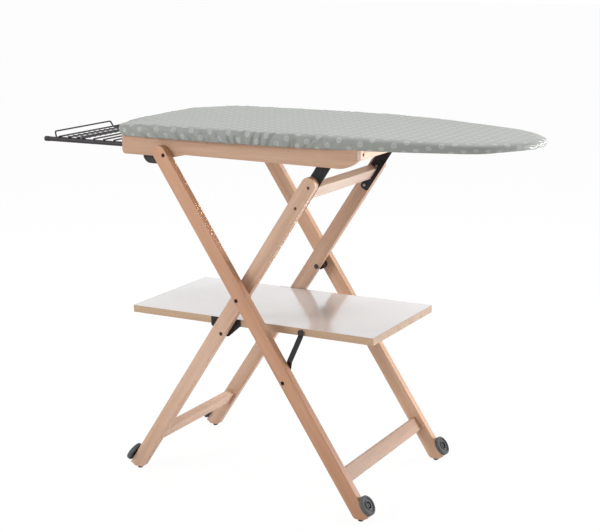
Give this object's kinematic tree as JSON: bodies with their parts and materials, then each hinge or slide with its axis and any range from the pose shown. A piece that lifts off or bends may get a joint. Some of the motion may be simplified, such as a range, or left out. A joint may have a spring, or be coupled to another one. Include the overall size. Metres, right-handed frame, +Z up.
{
  "type": "ironing board",
  "caption": "Folding beech ironing board with padded cloth-covered top on crossed wheeled legs, white linen shelf and pull-out wire iron rest.",
  "frame": {"origin": "on the floor, under the middle of the whole object's bounding box", "axes": "+X to the rounded nose of the board, +Y away from the viewer's side, +Z up"},
  "size_m": [1.28, 0.501, 0.915],
  "materials": {
    "beech": "clear satin lacquer on beech",
    "plywood": "raw board",
    "foam": "soft felt and foam",
    "cover_cloth": "printed cotton, matt",
    "laminate": "white melamine, satin",
    "black_steel": "black powder coat",
    "black_plastic": "moulded, matt",
    "zinc_steel": "zinc plated",
    "dark_bolt": "blackened steel",
    "wheel_rubber": "grey soft tread",
    "wheel_hub": "dark grey moulded"
  },
  "bodies": {
    "outer_legs": {"near_outer_leg": "beech", "far_outer_leg": "beech", "outer_stretcher": "beech", "outer_foot_glides": "black_plastic", "outer_wheel_axles": "dark_bolt", "top_pivot_bolts": "dark_bolt", "crossing_bolts": "dark_bolt", "crossing_spacers": "black_plastic", "stay_pivot_bolts": "dark_bolt"},
    "inner_legs": {"near_inner_leg": "beech", "far_inner_leg": "beech", "inner_foot_stretcher": "beech", "inner_head_stretcher": "beech", "near_top_bracket": "black_steel", "far_top_bracket": "black_steel", "cross_rod": "black_steel", "top_bracket_screws": "zinc_steel", "inner_foot_glides": "black_plastic", "inner_wheel_axles": "dark_bolt", "shelf_pivot_pins": "dark_bolt"},
    "board_top": {"board_panel": "plywood", "foam_pad": "foam", "board_cover": "cover_cloth", "near_rail": "beech", "far_rail": "beech", "nose_cross_bar": "beech", "heel_cross_bar": "beech", "cross_bar_nuts": "dark_bolt", "rest_guides": "black_plastic", "latch_guide_screws": "zinc_steel"},
    "shelf": {"shelf_board": "laminate", "shelf_edging": "beech", "near_shelf_bracket": "black_steel", "far_shelf_bracket": "black_steel", "shelf_bracket_screws": "zinc_steel"},
    "near_stay": {"near_shelf_stay": "black_steel", "near_stay_screw": "dark_bolt"},
    "far_stay": {"far_shelf_stay": "black_steel", "far_stay_screw": "dark_bolt"},
    "iron_rest": {"near_rest_tube": "black_steel", "far_rest_tube": "black_steel", "rest_cross_wires": "black_steel", "rest_links": "black_steel", "rest_guard_wire": "black_steel", "rest_end_caps": "black_plastic", "rest_tie_bar": "black_steel"},
    "latch": {"latch_bar": "black_steel", "latch_grip": "black_plastic"},
    "near_outer_wheel": {"near_outer_wheel_tyre": "wheel_rubber", "near_outer_wheel_hub": "wheel_hub"},
    "far_outer_wheel": {"far_outer_wheel_tyre": "wheel_rubber", "far_outer_wheel_hub": "wheel_hub"},
    "near_inner_wheel": {"near_inner_wheel_tyre": "wheel_rubber", "near_inner_wheel_hub": "wheel_hub"},
    "far_inner_wheel": {"far_inner_wheel_tyre": "wheel_rubber", "far_inner_wheel_hub": "wheel_hub"}
  },
  "joints": [
    {"name": "leg_fold", "type": "hinge", "parent": "outer_legs", "child": "inner_legs", "pos_m": [-0.04, 0, 0.5038], "axis": [0, -1, 0], "range_deg": [0, 64]},
    {"name": "top_tilt", "type": "hinge", "parent": "outer_legs", "child": "board_top", "pos_m": [-0.23913, 0, 0.84458], "axis": [0, -1, 0], "range_deg": [0, 32]},
    {"name": "shelf_fold", "type": "hinge", "parent": "inner_legs", "child": "shelf", "pos_m": [-0.11083, 0, 0.40246], "axis": [0, 1, 0], "range_deg": [0, 113.36]},
    {"name": "near_stay_swing", "type": "hinge", "parent": "outer_legs", "child": "near_stay", "pos_m": [0.08637, 0, 0.31497], "axis": [0, 1, 0], "range_deg": [0, 116.09]},
    {"name": "far_stay_swing", "type": "hinge", "parent": "outer_legs", "child": "far_stay", "pos_m": [0.08637, 0, 0.31497], "axis": [0, 1, 0], "range_deg": [0, 116.09]},
    {"name": "rest_slide", "type": "slide", "parent": "board_top", "child": "iron_rest", "axis": [1, 0, 0], "range_m": [0, 0.23]},
    {"name": "latch_pull", "type": "slide", "parent": "board_top", "child": "latch", "axis": [-1, 0, 0], "range_m": [0, 0.015], "stiffness_N_per_m": 300},
    {"name": "near_outer_wheel_spin", "type": "hinge", "parent": "outer_legs", "child": "near_outer_wheel", "pos_m": [0.30821, -0.2255, 0.04144], "axis": [0.8371, 0, 0.547], "continuous": true},
    {"name": "far_outer_wheel_spin", "type": "hinge", "parent": "outer_legs", "child": "far_outer_wheel", "pos_m": [0.30821, 0.2255, 0.04144], "axis": [0.8371, 0, 0.547], "continuous": true},
    {"name": "near_inner_wheel_spin", "type": "hinge", "parent": "inner_legs", "child": "near_inner_wheel", "pos_m": [-0.39374, -0.185, 0.04149], "axis": [-0.8333, 0, 0.5528], "continuous": true},
    {"name": "far_inner_wheel_spin", "type": "hinge", "parent": "inner_legs", "child": "far_inner_wheel", "pos_m": [-0.39374, 0.185, 0.04149], "axis": [-0.8333, 0, 0.5528], "continuous": true}
  ],
  "couplings": [
    {"joint": "top_tilt", "follows": "leg_fold", "ratio": 0.5},
    {"joint": "shelf_fold", "follows": "leg_fold", "ratio": 1.7712},
    {"joint": "near_stay_swing", "follows": "leg_fold", "ratio": 1.8139},
    {"joint": "far_stay_swing", "follows": "leg_fold", "ratio": 1.8139}
  ]
}
